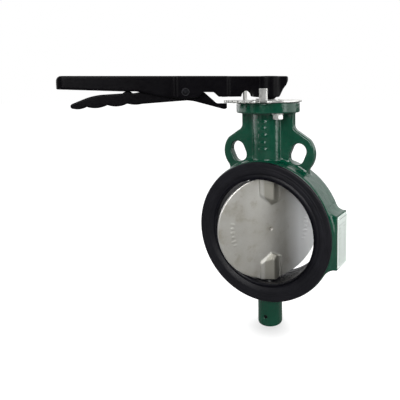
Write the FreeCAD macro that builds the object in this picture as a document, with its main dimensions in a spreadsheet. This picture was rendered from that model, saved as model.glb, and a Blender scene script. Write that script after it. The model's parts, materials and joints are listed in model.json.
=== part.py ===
import FreeCAD, Part
import math
import os
import Sketcher

# Wafer butterfly valve, DN150, with a notched throttle plate and a squeeze handle.
# Frame: origin at the disc's centre, +Z up along the stem, Y along the pipe, millimetres.

DIMENSIONS = {
    "face_to_face": 56.0,
    "body_width": 48.0,
    "body_radius": 102.0,
    "body_bore_radius": 87.0,
    "liner_radius": 100.6,
    "liner_bore_radius": 76.9,
    "liner_lip_radius": 76.2,
    "disc_radius": 76.5,
    "disc_edge_half": 3.5,
    "disc_ridge_half": 8.5,
    "disc_hub_radius": 14.5,
    "disc_hub_end": 75.0,
    "open_angle": 40.0,
    "stem_radius": 10.0,
    "stub_radius": 9.0,
    "running_gap": 0.05,
    "square_side": 14.0,
    "neck_bore_radius": 13.0,
    "neck_radius": 23.0,
    "flange_radius": 45.0,
    "flange_bottom": 168.5,
    "flange_top": 183.0,
    "flange_pitch_radius": 35.0,
    "flange_hole_radius": 4.5,
    "web_thickness": 12.0,
    "web_neck_half": 39.7,
    "pipe_pitch_radius": 120.0,
    "ear_angle": 22.5,
    "slot_radius": 11.0,
    "slot_travel": 9.0,
    "boss_radius": 18.0,
    "boss_bottom": 151.5,
    "plate_thickness": 3.0,
    "plate_radius": 48.0,
    "sector_radius": 63.0,
    "notch_root_radius": 57.8,
    "notch_width": 6.8,
    "notch_step": 10.0,
    "handle_bottom": 187.2,
    "handle_top": 219.4,
    "handle_ceiling": 215.0,
    "pivot_reach": 116.5,
    "pivot_height": 198.5,
    "pivot_pin_radius": 3.0,
    "trigger_half": 7.0,
}

doc = FreeCAD.newDocument("ButterflyValve")
sheet = doc.addObject("Spreadsheet::Sheet", "Dimensions")
for row, (alias, value) in enumerate(DIMENSIONS.items(), start=1):
    sheet.set(f"A{row}", alias)
    sheet.set(f"B{row}", str(value))
    sheet.setAlias(f"B{row}", alias)
doc.recompute()


class Size:
    """A length that is known both as a number and as a spreadsheet expression."""

    def __init__(self, value, text):
        self.value = value
        self.text = text

    def __add__(self, other):
        other = as_size(other)
        return Size(self.value + other.value, f"({self.text} + {other.text})")

    def __sub__(self, other):
        other = as_size(other)
        return Size(self.value - other.value, f"({self.text} - {other.text})")

    def __mul__(self, factor):
        return Size(self.value * factor, f"({self.text} * {factor})")

    def __neg__(self):
        return self * -1


def as_size(value):
    return value if isinstance(value, Size) else Size(float(value), repr(float(value)))


def dim(alias):
    return Size(DIMENSIONS[alias], f"Dimensions.{alias}")


FACE = dim("face_to_face") * 0.5
BODY_HALF = dim("body_width") * 0.5
GAP = dim("running_gap")
PLATE_TOP = dim("flange_top") + dim("plate_thickness")
OPEN_ANGLE = DIMENSIONS["open_angle"]
HANDLE_ANGLE = 180.0 + OPEN_ANGLE

subparts = []


# ---------------------------------------------------------------- modelling helpers

def new_body(name, angle=0.0):
    """A part, placed by a turn about Z."""
    body = doc.addObject("PartDesign::Body", name)
    body.Label = name
    body.Placement = FreeCAD.Placement(
        FreeCAD.Vector(0, 0, 0),
        FreeCAD.Rotation(FreeCAD.Vector(0, 0, 1), angle))
    subparts.append(body)
    return body


def new_sketch(body, role, offset=0.0, tilt=0.0):
    """A sketch on an origin plane, tilted about its own second axis.

    XY: (x, y). XZ: (x, z). YZ: (y, z).
    """
    plane = next(f for f in body.Origin.OriginFeatures if f.Role == role)
    sketch = body.newObject("Sketcher::SketchObject", f"{body.Name}_sketch")
    sketch.AttachmentSupport = [(plane, "")]
    sketch.MapMode = "FlatFace"
    distance = as_size(offset)
    sketch.AttachmentOffset = FreeCAD.Placement(
        FreeCAD.Vector(0, 0, distance.value),
        FreeCAD.Rotation(FreeCAD.Vector(0, 1, 0), tilt))
    if isinstance(offset, Size):
        sketch.setExpression("AttachmentOffset.Base.z", distance.text)
    return sketch


def hold(sketch, kind, *arguments):
    """Adds a dimension whose last argument is a Size and binds it to the sheet."""
    size = as_size(arguments[-1])
    index = sketch.addConstraint(Sketcher.Constraint(kind, *arguments[:-1], size.value))
    if "Dimensions" in size.text:
        sketch.setExpression(f"Constraints[{index}]", size.text)


def place_point(sketch, geometry, point, x, y):
    """Holds one sketch point at (x, y) from the sketch's origin."""
    for kind, size, axis in (("DistanceX", as_size(x), -2), ("DistanceY", as_size(y), -1)):
        if abs(size.value) < 1e-9:
            sketch.addConstraint(Sketcher.Constraint("PointOnObject", geometry, point, axis))
        else:
            hold(sketch, kind, -1, 1, geometry, point, size)


def draw_circle(sketch, radius, x=0.0, y=0.0):
    centre = FreeCAD.Vector(as_size(x).value, as_size(y).value, 0)
    index = sketch.addGeometry(
        Part.Circle(centre, FreeCAD.Vector(0, 0, 1), as_size(radius).value), False)
    hold(sketch, "Radius", index, radius)
    place_point(sketch, index, 3, x, y)


def draw_polygon(sketch, points):
    """A closed outline of straight sides with each corner held by two dimensions."""
    flat = [FreeCAD.Vector(as_size(x).value, as_size(y).value, 0) for x, y in points]
    first = len(sketch.Geometry)
    count = len(points)
    for i in range(count):
        sketch.addGeometry(Part.LineSegment(flat[i], flat[(i + 1) % count]), False)
    for i in range(count):
        following = first + (i + 1) % count
        sketch.addConstraint(Sketcher.Constraint("Coincident", first + i, 2, following, 1))
    for i, (x, y) in enumerate(points):
        place_point(sketch, first + i, 1, x, y)


def draw_box(sketch, x_low, x_high, y_low, y_high):
    draw_polygon(sketch, [(x_low, y_low), (x_high, y_low), (x_high, y_high), (x_low, y_high)])


def draw_outline(sketch, start, steps):
    """A closed outline: each step is (end,) for a line or (middle, end) for an arc."""
    here = FreeCAD.Vector(*start, 0)
    first = len(sketch.Geometry)
    for step in steps:
        end = FreeCAD.Vector(*step[-1], 0)
        if len(step) == 2:
            arc = Part.Arc(here, FreeCAD.Vector(*step[0], 0), end)
            sketch.addGeometry(arc, False)
        else:
            sketch.addGeometry(Part.LineSegment(here, end), False)
        here = end
    for index in range(first, len(sketch.Geometry)):
        sketch.addConstraint(Sketcher.Constraint("Block", index))


def extrude(body, sketch, length, kind="Pad", both_ways=False, reverse=False):
    """A Pad or a Pocket; both_ways centres the length on the sketch."""
    feature = body.newObject(f"PartDesign::{kind}", f"{body.Name}_{kind.lower()}")
    feature.Profile = sketch
    size = as_size(length)
    feature.Length = size.value
    if "Dimensions" in size.text:
        feature.setExpression("Length", size.text)
    feature.Midplane = both_ways
    feature.Reversed = reverse
    return feature


def cut(body, sketch, length, both_ways=True, reverse=False):
    """A Pocket that is checked for having removed material."""
    doc.recompute()
    before = body.Shape.Volume
    extrude(body, sketch, length, "Pocket", both_ways, reverse)
    doc.recompute()
    if body.Shape.Volume > before - 1e-3:
        raise RuntimeError(f"a pocket in {body.Name} cut nothing")


def turn(body, sketch, axis, kind="Revolution"):
    """A Revolution or a Groove, full circle, about the sketch's H_Axis or V_Axis."""
    feature = body.newObject(f"PartDesign::{kind}", f"{body.Name}_{kind.lower()}")
    feature.Profile = sketch
    feature.ReferenceAxis = (sketch, [axis])
    feature.Angle = 360.0
    return feature


def turned_ring(name, profile, angle=0.0):
    """A part turned about the stem axis from (radius, height) corners."""
    body = new_body(name, angle)
    sketch = new_sketch(body, "XZ_Plane")
    draw_polygon(sketch, profile)
    turn(body, sketch, "V_Axis")
    return body


def tube_profile(inner, outer, low, high):
    return [(inner, low), (outer, low), (outer, high), (inner, high)]


def solid_part(name, shape, angle=0.0):
    """A part whose shape comes straight from Part's functions, turned about Z."""
    feature = doc.addObject("Part::Feature", name)
    feature.Label = name
    feature.Shape = shape
    turned = FreeCAD.Placement(
        FreeCAD.Vector(0, 0, 0),
        FreeCAD.Rotation(FreeCAD.Vector(0, 0, 1), angle))
    feature.Placement = turned.multiply(shape.Placement)
    subparts.append(feature)


def polar(radius, degrees):
    angle = math.radians(degrees)
    return radius * math.cos(angle), radius * math.sin(angle)


# ---------------------------------------------------------------- valve body

EAR_X, EAR_Z = (
    DIMENSIONS["pipe_pitch_radius"] * math.sin(math.radians(DIMENSIONS["ear_angle"])),
    DIMENSIONS["pipe_pitch_radius"] * math.cos(math.radians(DIMENSIONS["ear_angle"])))
PLATE_BOLT_ANGLES = (-45.0, 135.0)
PAD_HALF_WIDTH = 18.0
PAD_LOW = -42.0
PAD_HIGH = 33.0
PAD_REACH = 107.5
PAD_TILT = 7.0
STUB_PIN_HEIGHT = -130.0
STUB_PIN_RADIUS = 2.5
STUB_BOTTOM = -138.0
RING_GROOVE_LOW = 174.5
RING_GROOVE_HIGH = 176.1
RING_GROOVE_DEPTH = 1.3
BOSS_TIP_RADIUS = 3.5
BOSS_CONE_HEIGHT = 8.0
BOSS_ROOT = -90.0
PAD_ROOT = 80.0
WEB_ROOT = 80.0
SEAL_CHAMBER_RADIUS = 12.0
SEAL_CHAMBER_BOTTOM = -92.0
STUB_HOLE_TOP = -80.0
PIN_HOLE_DEPTH = 30.0
STEM_HOLE_DEPTH = 200.0


def draw_web(sketch):
    """The flat web: neck, shoulders and two ears, mirrored about the stem."""
    neck = DIMENSIONS["web_neck_half"]
    top = DIMENSIONS["flange_bottom"] + 1.0
    right = [
        ((62.5, 91.0),),
        ((70.2, 112.0), (62.5, 131.5)),
        ((46.0, 142.5),),
        ((neck + 1.7, 146.2), (neck, 151.0)),
        ((neck, top),),
    ]
    left = [
        ((-neck, top),),
        ((-neck, 151.0),),
        ((-neck - 1.7, 146.2), (-46.0, 142.5)),
        ((-62.5, 131.5),),
        ((-70.2, 112.0), (-62.5, 91.0)),
        ((-58.0, WEB_ROOT),),
        ((58.0, WEB_ROOT),),
    ]
    draw_outline(sketch, (58.0, WEB_ROOT), right + left)


def draw_ear_slot(sketch, side):
    """A rounded slot that runs along the radius of the pipe's bolt circle."""
    radius = DIMENSIONS["slot_radius"]
    half = DIMENSIONS["slot_travel"] / 2
    out = (side * math.sin(math.radians(DIMENSIONS["ear_angle"])),
           math.cos(math.radians(DIMENSIONS["ear_angle"])))
    across = (-out[1], out[0])

    def at(along, sideways):
        return (side * EAR_X + out[0] * along + across[0] * sideways,
                EAR_Z + out[1] * along + across[1] * sideways)

    draw_outline(sketch, at(-half, radius), [
        (at(half, radius),),
        (at(half + radius, 0), at(half, -radius)),
        (at(-half, -radius),),
        (at(-half - radius, 0), at(-half, radius)),
    ])


def make_valve_body():
    body = new_body("valve_body")
    web = new_sketch(body, "XZ_Plane")
    draw_web(web)
    extrude(body, web, dim("web_thickness"), both_ways=True)
    ring = new_sketch(body, "YZ_Plane")
    draw_polygon(ring, [(-BODY_HALF, 0), (BODY_HALF, 0), (BODY_HALF, dim("body_radius")),
                        (-BODY_HALF, dim("body_radius"))])
    turn(body, ring, "H_Axis")
    neck = new_sketch(body, "XZ_Plane")
    draw_polygon(neck, tube_profile(0, dim("neck_radius"), WEB_ROOT, dim("flange_top") - 5.0))
    turn(body, neck, "V_Axis")
    flange = new_sketch(body, "XZ_Plane")
    draw_polygon(flange, tube_profile(0, dim("flange_radius"), dim("flange_bottom"),
                                      dim("flange_top")))
    turn(body, flange, "V_Axis")
    boss = new_sketch(body, "XZ_Plane")
    cone_top = -(dim("boss_bottom") - BOSS_CONE_HEIGHT)
    draw_polygon(boss, [(0, -dim("boss_bottom")), (BOSS_TIP_RADIUS, -dim("boss_bottom")),
                        (dim("boss_radius"), cone_top), (dim("boss_radius"), BOSS_ROOT),
                        (0, BOSS_ROOT)])
    turn(body, boss, "V_Axis")
    pad = new_sketch(body, "XY_Plane", PAD_LOW)
    slope = PAD_HALF_WIDTH * math.tan(math.radians(PAD_TILT))
    draw_polygon(pad, [(PAD_ROOT, -PAD_HALF_WIDTH), (PAD_REACH - slope, -PAD_HALF_WIDTH),
                       (PAD_REACH + slope, PAD_HALF_WIDTH), (PAD_ROOT, PAD_HALF_WIDTH)])
    extrude(body, pad, PAD_HIGH - PAD_LOW)

    bore = new_sketch(body, "XZ_Plane")
    draw_circle(bore, dim("body_bore_radius"))
    cut(body, bore, dim("face_to_face"))
    slots = new_sketch(body, "XZ_Plane")
    for side in (-1, 1):
        draw_ear_slot(slots, side)
    cut(body, slots, dim("face_to_face"))
    stem_hole = new_sketch(body, "XY_Plane")
    draw_circle(stem_hole, dim("neck_bore_radius"))
    cut(body, stem_hole, STEM_HOLE_DEPTH, both_ways=False, reverse=True)
    ring_groove = new_sketch(body, "XZ_Plane")
    draw_polygon(ring_groove, tube_profile(10.0, dim("neck_bore_radius") + RING_GROOVE_DEPTH,
                                           RING_GROOVE_LOW, RING_GROOVE_HIGH))
    turn(body, ring_groove, "V_Axis", "Groove")
    stub_hole = new_sketch(body, "XZ_Plane")
    draw_polygon(stub_hole, [(0, STUB_BOTTOM), (dim("stub_radius") + GAP, STUB_BOTTOM),
                             (dim("stub_radius") + GAP, SEAL_CHAMBER_BOTTOM),
                             (SEAL_CHAMBER_RADIUS, SEAL_CHAMBER_BOTTOM),
                             (SEAL_CHAMBER_RADIUS, STUB_HOLE_TOP), (0, STUB_HOLE_TOP)])
    turn(body, stub_hole, "V_Axis", "Groove")
    pin_hole = new_sketch(body, "XZ_Plane")
    draw_circle(pin_hole, STUB_PIN_RADIUS, 0.0, STUB_PIN_HEIGHT)
    cut(body, pin_hole, PIN_HOLE_DEPTH, both_ways=False, reverse=True)
    for quarter in range(4):
        x, y = polar(DIMENSIONS["flange_pitch_radius"], 45.0 + 90.0 * quarter)
        hole = new_sketch(body, "XY_Plane", dim("flange_top") + 1.0)
        draw_circle(hole, dim("flange_hole_radius"), x, y)
        cut(body, hole, 20.0, both_ways=False)
    rivets = new_sketch(body, "YZ_Plane", PAD_REACH, -PAD_TILT)
    for y, z in rivet_spots():
        draw_circle(rivets, RIVET_RADIUS + 0.02, y, z)
    cut(body, rivets, RIVET_DEPTH, both_ways=False)


# ---------------------------------------------------------------- nameplate

RIVET_RADIUS = 1.2
RIVET_DEPTH = 5.0
NAMEPLATE_THICKNESS = 1.0


def rivet_spots():
    middle = (PAD_LOW + PAD_HIGH) / 2
    return [(y, middle + z) for y in (-14.0, 14.0) for z in (-33.0, 33.0)]


def make_nameplate():
    """A riveted plate on the pad, which faces a little towards the -Y side."""
    plate = new_body("nameplate")
    sketch = new_sketch(plate, "YZ_Plane", PAD_REACH + 0.02, -PAD_TILT)
    draw_box(sketch, -17.0, 17.0, PAD_LOW + 1.5, PAD_HIGH - 1.5)
    for y, z in rivet_spots():
        draw_circle(sketch, RIVET_RADIUS + 0.05, y, z)
    extrude(plate, sketch, NAMEPLATE_THICKNESS)
    rivets = []
    outward = FreeCAD.Vector(1, 0, 0)
    for y, z in rivet_spots():
        shank = Part.makeCylinder(RIVET_RADIUS, RIVET_DEPTH + NAMEPLATE_THICKNESS,
                                  FreeCAD.Vector(0.1 - RIVET_DEPTH, y, z), outward)
        head = Part.makeSphere(2.2, FreeCAD.Vector(0.2, y, z))
        keep = Part.makeBox(4.0, 6.0, 6.0, FreeCAD.Vector(
            NAMEPLATE_THICKNESS + 0.04, y - 3.0, z - 3.0))
        rivets.append(shank.fuse(head.common(keep)).removeSplitter())
    cluster = Part.makeCompound(rivets)
    cluster.Placement = FreeCAD.Placement(
        FreeCAD.Vector(PAD_REACH, 0, 0),
        FreeCAD.Rotation(FreeCAD.Vector(0, 0, 1), -PAD_TILT))
    solid_part("nameplate_rivets", cluster)


# ---------------------------------------------------------------- seat liner

def make_seat_liner():
    """Rubber seat: a sleeve in the bore with a rim that covers each face of the body."""
    liner = new_body("seat_liner")
    outer = dim("body_bore_radius") - GAP
    inside_rim = BODY_HALF + GAP
    lip = dim("liner_lip_radius")
    seat = dim("liner_bore_radius")
    half = [(15.0, seat), (17.5, lip), (21.5, lip), (23.4, lip + 0.5), (25.9, lip + 2.3),
            (27.4, lip + 4.6), (FACE, lip + 6.4),
            (FACE, dim("liner_radius") - 2.0), (FACE - 1.2, dim("liner_radius")),
            (inside_rim, dim("liner_radius")), (inside_rim, outer)]
    mirrored = [(-as_size(y), r) for y, r in reversed(half)]
    sketch = new_sketch(liner, "YZ_Plane")
    draw_polygon(sketch, half + mirrored)
    turn(liner, sketch, "H_Axis")
    for radius, reverse in ((dim("stem_radius") + GAP, True), (dim("stub_radius") + GAP, False)):
        hole = new_sketch(liner, "XY_Plane")
        draw_circle(hole, radius)
        cut(liner, hole, 100.0, both_ways=False, reverse=reverse)


# ---------------------------------------------------------------- disc

STEM_SQUARE_LOW = 42.0
STEM_SQUARE_HIGH = 58.0
DISC_BUSH_TOP = -46.0


def make_disc():
    """Disc: a lens with a straight ridge along the stem, a spherical rim and two hubs."""
    disc = new_body("disc", OPEN_ANGLE)
    edge, ridge = dim("disc_edge_half"), dim("disc_ridge_half")
    reach = dim("disc_radius") + 3.5
    section = new_sketch(disc, "XY_Plane")
    draw_polygon(section, [(-reach, -edge), (-62.0, -edge), (-12.0, -ridge), (12.0, -ridge),
                           (62.0, -edge), (reach, -edge), (reach, edge), (62.0, edge),
                           (12.0, ridge), (-12.0, ridge), (-62.0, edge), (-reach, edge)])
    extrude(disc, section, dim("disc_radius") * 2, both_ways=True)
    for side in (1, -1):
        hub = new_sketch(disc, "XZ_Plane")
        draw_polygon(hub, [(0, side * 27.0), (dim("disc_hub_radius"), side * 47.0),
                           (dim("disc_hub_radius"), dim("disc_hub_end") * side),
                           (0, dim("disc_hub_end") * side)])
        turn(disc, hub, "V_Axis")
    trim = new_sketch(disc, "XZ_Plane")
    radius, end = DIMENSIONS["disc_radius"], DIMENSIONS["disc_hub_end"]
    shoulder = math.sqrt(radius ** 2 - end ** 2)
    draw_outline(trim, (0, end), [
        ((shoulder, end),),
        ((radius, 0), (shoulder, -end)),
        ((0, -end),),
        ((0, -end - 20.0),),
        ((radius + 25.0, -end - 20.0),),
        ((radius + 25.0, end + 20.0),),
        ((0, end + 20.0),),
        ((0, end),),
    ])
    turn(disc, trim, "V_Axis", "Groove")
    bores = new_sketch(disc, "XZ_Plane")
    draw_polygon(bores, tube_profile(0, dim("stem_radius") + GAP, STEM_SQUARE_HIGH, 90.0))
    turn(disc, bores, "V_Axis", "Groove")
    socket = new_sketch(disc, "XY_Plane", STEM_SQUARE_LOW - 2.0)
    half = dim("square_side") * 0.5 + GAP
    draw_box(socket, -half, half, -half, half)
    cut(disc, socket, 30.0, both_ways=False, reverse=True)
    lower = new_sketch(disc, "XZ_Plane")
    draw_polygon(lower, tube_profile(0, dim("stub_radius") + 2.0, -90.0, DISC_BUSH_TOP))
    turn(disc, lower, "V_Axis", "Groove")


# ---------------------------------------------------------------- stems, bushes and seals

STEM_TOP = 208.6
SCREW_HOLE_RADIUS = 4.0
NECK_BUSH = (89.0, 109.0)
UPPER_BUSH = (150.0, 172.0)
THRUST_WASHER = (172.1, 174.3)
STEM_SEAL_HEIGHTS = (112.0, 147.0)
STUB_SEAL_HEIGHT = -90.0
STEM_SEAL_SECTION = 1.46
STUB_SEAL_SECTION = 1.44
SNAP_RING_INNER = 11.2


def make_drive_stem():
    """Upper stem: square in the disc, round through the neck, square in the handle."""
    stem = turned_ring("drive_stem", tube_profile(0, dim("stem_radius"), STEM_SQUARE_HIGH + 0.3,
                                                  PLATE_TOP), OPEN_ANGLE)
    half = dim("square_side") * 0.5
    for low, high in ((STEM_SQUARE_LOW, STEM_SQUARE_HIGH + 1.0),
                      (DIMENSIONS["flange_top"], STEM_TOP)):
        square = new_sketch(stem, "XY_Plane", low)
        draw_box(square, -half, half, -half, half)
        extrude(stem, square, high - low)
    tapped = new_sketch(stem, "XY_Plane", STEM_TOP)
    draw_circle(tapped, SCREW_HOLE_RADIUS)
    cut(stem, tapped, 20.0, both_ways=False)


def make_bearings():
    stem_hole = dim("stem_radius") + GAP
    neck_wall = dim("neck_bore_radius") - 0.06
    turned_ring("neck_bush", tube_profile(stem_hole, neck_wall, *NECK_BUSH))
    turned_ring("upper_stem_bush", tube_profile(stem_hole, neck_wall, *UPPER_BUSH))
    turned_ring("stem_thrust_washer", tube_profile(dim("stem_radius") + 0.4,
                                                   dim("neck_bore_radius") - 0.2,
                                                   *THRUST_WASHER))
    turned_ring("disc_bush", tube_profile(dim("stub_radius") + GAP, dim("stub_radius") + 1.95,
                                          -74.9, DISC_BUSH_TOP - 0.1), OPEN_ANGLE)
    stub = turned_ring("stub_stem", tube_profile(0, dim("stub_radius"), STUB_BOTTOM + 0.1,
                                                 DISC_BUSH_TOP - 1.0))
    cross_hole = new_sketch(stub, "XZ_Plane")
    draw_circle(cross_hole, STUB_PIN_RADIUS, 0.0, STUB_PIN_HEIGHT)
    cut(stub, cross_hole, PIN_HOLE_DEPTH, both_ways=False, reverse=True)
    pin = new_body("stub_stem_pin")
    pin_sketch = new_sketch(pin, "XZ_Plane", 2.0)
    draw_circle(pin_sketch, STUB_PIN_RADIUS - 0.02, 0.0, STUB_PIN_HEIGHT)
    extrude(pin, pin_sketch, 15.0)


def o_ring(inner, section, height):
    return Part.makeTorus(inner + section, section, FreeCAD.Vector(0, 0, height))


def make_seals():
    stem_inner = DIMENSIONS["stem_radius"] + 0.04
    rings = [o_ring(stem_inner, STEM_SEAL_SECTION, height) for height in STEM_SEAL_HEIGHTS]
    solid_part("stem_seals", Part.makeCompound(rings))
    stub_inner = DIMENSIONS["stub_radius"] + 0.04
    solid_part("stub_seal", o_ring(stub_inner, STUB_SEAL_SECTION, STUB_SEAL_HEIGHT))


def make_retaining_ring():
    """Internal snap ring with a gap, in the groove at the top of the neck."""
    ring = turned_ring("stem_retaining_ring", tube_profile(
        SNAP_RING_INNER, dim("neck_bore_radius") + RING_GROOVE_DEPTH - 0.1,
        RING_GROOVE_LOW + 0.1, RING_GROOVE_HIGH - 0.1))
    opening = new_sketch(ring, "XY_Plane", RING_GROOVE_LOW - 1.0)
    draw_box(opening, -4.0, 4.0, -20.0, -5.0)
    cut(ring, opening, 5.0, both_ways=False, reverse=True)


# ---------------------------------------------------------------- throttle plate

SECTOR_START = 166.0
SECTOR_END = 297.0
OPEN_STOP = {"low": (10.6, -54.0), "high": (22.0, -51.0)}
CLOSED_STOP = {"low": (-46.0, 10.6), "high": (-43.0, 20.0)}
STOP_TOP = 202.0
PLATE_HOLE_RADIUS = 15.0
NOTCH_COUNT = 10
BOLT_END = 159.8
BOLT_RADIUS = 3.95
BOLT_HEAD_RADIUS = 6.5
BOLT_HEAD_HEIGHT = 1.5
BOLT_KEY_FLATS = 4.0
NUT_FLATS = 13.0
WASHER_RADIUS = 8.0
WASHER_THICKNESS = 1.6
NUT_HEIGHT = 6.5


def make_throttle_plate():
    plate = new_body("throttle_plate")
    inner, outer = DIMENSIONS["plate_radius"], DIMENSIONS["sector_radius"]
    outline = new_sketch(plate, "XY_Plane", dim("flange_top"))
    middle = (SECTOR_START + SECTOR_END) / 2
    opposite = middle + 180.0
    draw_outline(outline, polar(inner, SECTOR_START), [
        (polar(outer, SECTOR_START),),
        (polar(outer, middle), polar(outer, SECTOR_END)),
        (polar(inner, SECTOR_END),),
        (polar(inner, opposite), polar(inner, SECTOR_START)),
    ])
    draw_circle(outline, PLATE_HOLE_RADIUS)
    for quarter in range(4):
        x, y = polar(DIMENSIONS["flange_pitch_radius"], 45.0 + 90.0 * quarter)
        draw_circle(outline, dim("flange_hole_radius"), x, y)
    extrude(plate, outline, dim("plate_thickness"))
    for stop in (OPEN_STOP, CLOSED_STOP):
        tab = new_sketch(plate, "XY_Plane", dim("flange_top"))
        draw_box(tab, stop["low"][0], stop["high"][0], stop["low"][1], stop["high"][1])
        extrude(plate, tab, STOP_TOP - DIMENSIONS["flange_top"])
    half = DIMENSIONS["notch_width"] / 2
    root = DIMENSIONS["notch_root_radius"]
    notches = new_sketch(plate, "XY_Plane", dim("flange_top") - 1.0)
    for step in range(NOTCH_COUNT):
        angle = math.radians(180.0 + DIMENSIONS["notch_step"] * step)
        along = (math.cos(angle), math.sin(angle))
        side = (-along[1], along[0])
        corners = []
        for reach, offset in ((root, -half), (outer + 3.0, -half), (outer + 3.0, half),
                              (root, half)):
            corners.append((along[0] * reach + side[0] * offset,
                            along[1] * reach + side[1] * offset))
        draw_outline(notches, corners[0], [(corners[1],), (corners[2],), (corners[3],),
                                           (corners[0],)])
    cut(plate, notches, 10.0, both_ways=False, reverse=True)


def make_plate_fasteners():
    """Two M8 sets: thin round head on the plate, washer and nut under the flange."""
    bolts, nuts, washers = [], [], []
    top = PLATE_TOP.value
    under = DIMENSIONS["flange_bottom"]
    axis = FreeCAD.Vector(0, 0, 1)
    for angle in PLATE_BOLT_ANGLES:
        x, y = polar(DIMENSIONS["flange_pitch_radius"], angle)
        shank = Part.makeCylinder(BOLT_RADIUS, top - BOLT_END + 0.5,
                                  FreeCAD.Vector(x, y, BOLT_END), axis)
        head = Part.makeCylinder(BOLT_HEAD_RADIUS, BOLT_HEAD_HEIGHT,
                                 FreeCAD.Vector(x, y, top + 0.02), axis)
        key = hexagon(BOLT_KEY_FLATS, BOLT_HEAD_HEIGHT, FreeCAD.Vector(x, y, top))
        bolts.append(shank.fuse(head).cut(key).removeSplitter())
        washer_base = FreeCAD.Vector(x, y, under - WASHER_THICKNESS - 0.02)
        washer = Part.makeCylinder(WASHER_RADIUS, WASHER_THICKNESS, washer_base, axis)
        hole = Part.makeCylinder(BOLT_RADIUS + 0.25, WASHER_THICKNESS, washer_base, axis)
        washers.append(washer.cut(hole))
        nut_base = washer_base - axis * (NUT_HEIGHT + 0.08)
        nut = hexagon(NUT_FLATS, NUT_HEIGHT, nut_base)
        bore = Part.makeCylinder(BOLT_RADIUS + 0.05, NUT_HEIGHT, nut_base, axis)
        nuts.append(nut.cut(bore))
    solid_part("plate_bolts", Part.makeCompound(bolts))
    solid_part("plate_washers", Part.makeCompound(washers))
    solid_part("plate_nuts", Part.makeCompound(nuts))


def hexagon(across_flats, height, base):
    """A hexagonal prism that stands on the point base."""
    reach = across_flats / math.sqrt(3.0)
    corners = []
    for i in range(7):
        x, y = polar(reach, 60.0 * i)
        corners.append(base + FreeCAD.Vector(x, y, 0))
    face = Part.Face(Part.makePolygon(corners))
    return face.extrude(FreeCAD.Vector(0, 0, height))


# ---------------------------------------------------------------- handle

HEAD_HALF = 10.0
HOUSING_HALF = 14.0
GRIP_HALF = 12.0
WALL = 3.5
HANDLE_END = 272.0
HUB_RADIUS = 17.5
FOOT_RADIUS = 11.2
FOOT_TOP = 189.9
COUNTERBORE_FLOOR = 209.0
COUNTERBORE_RADIUS = 11.0
THROUGH = 60.0


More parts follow.
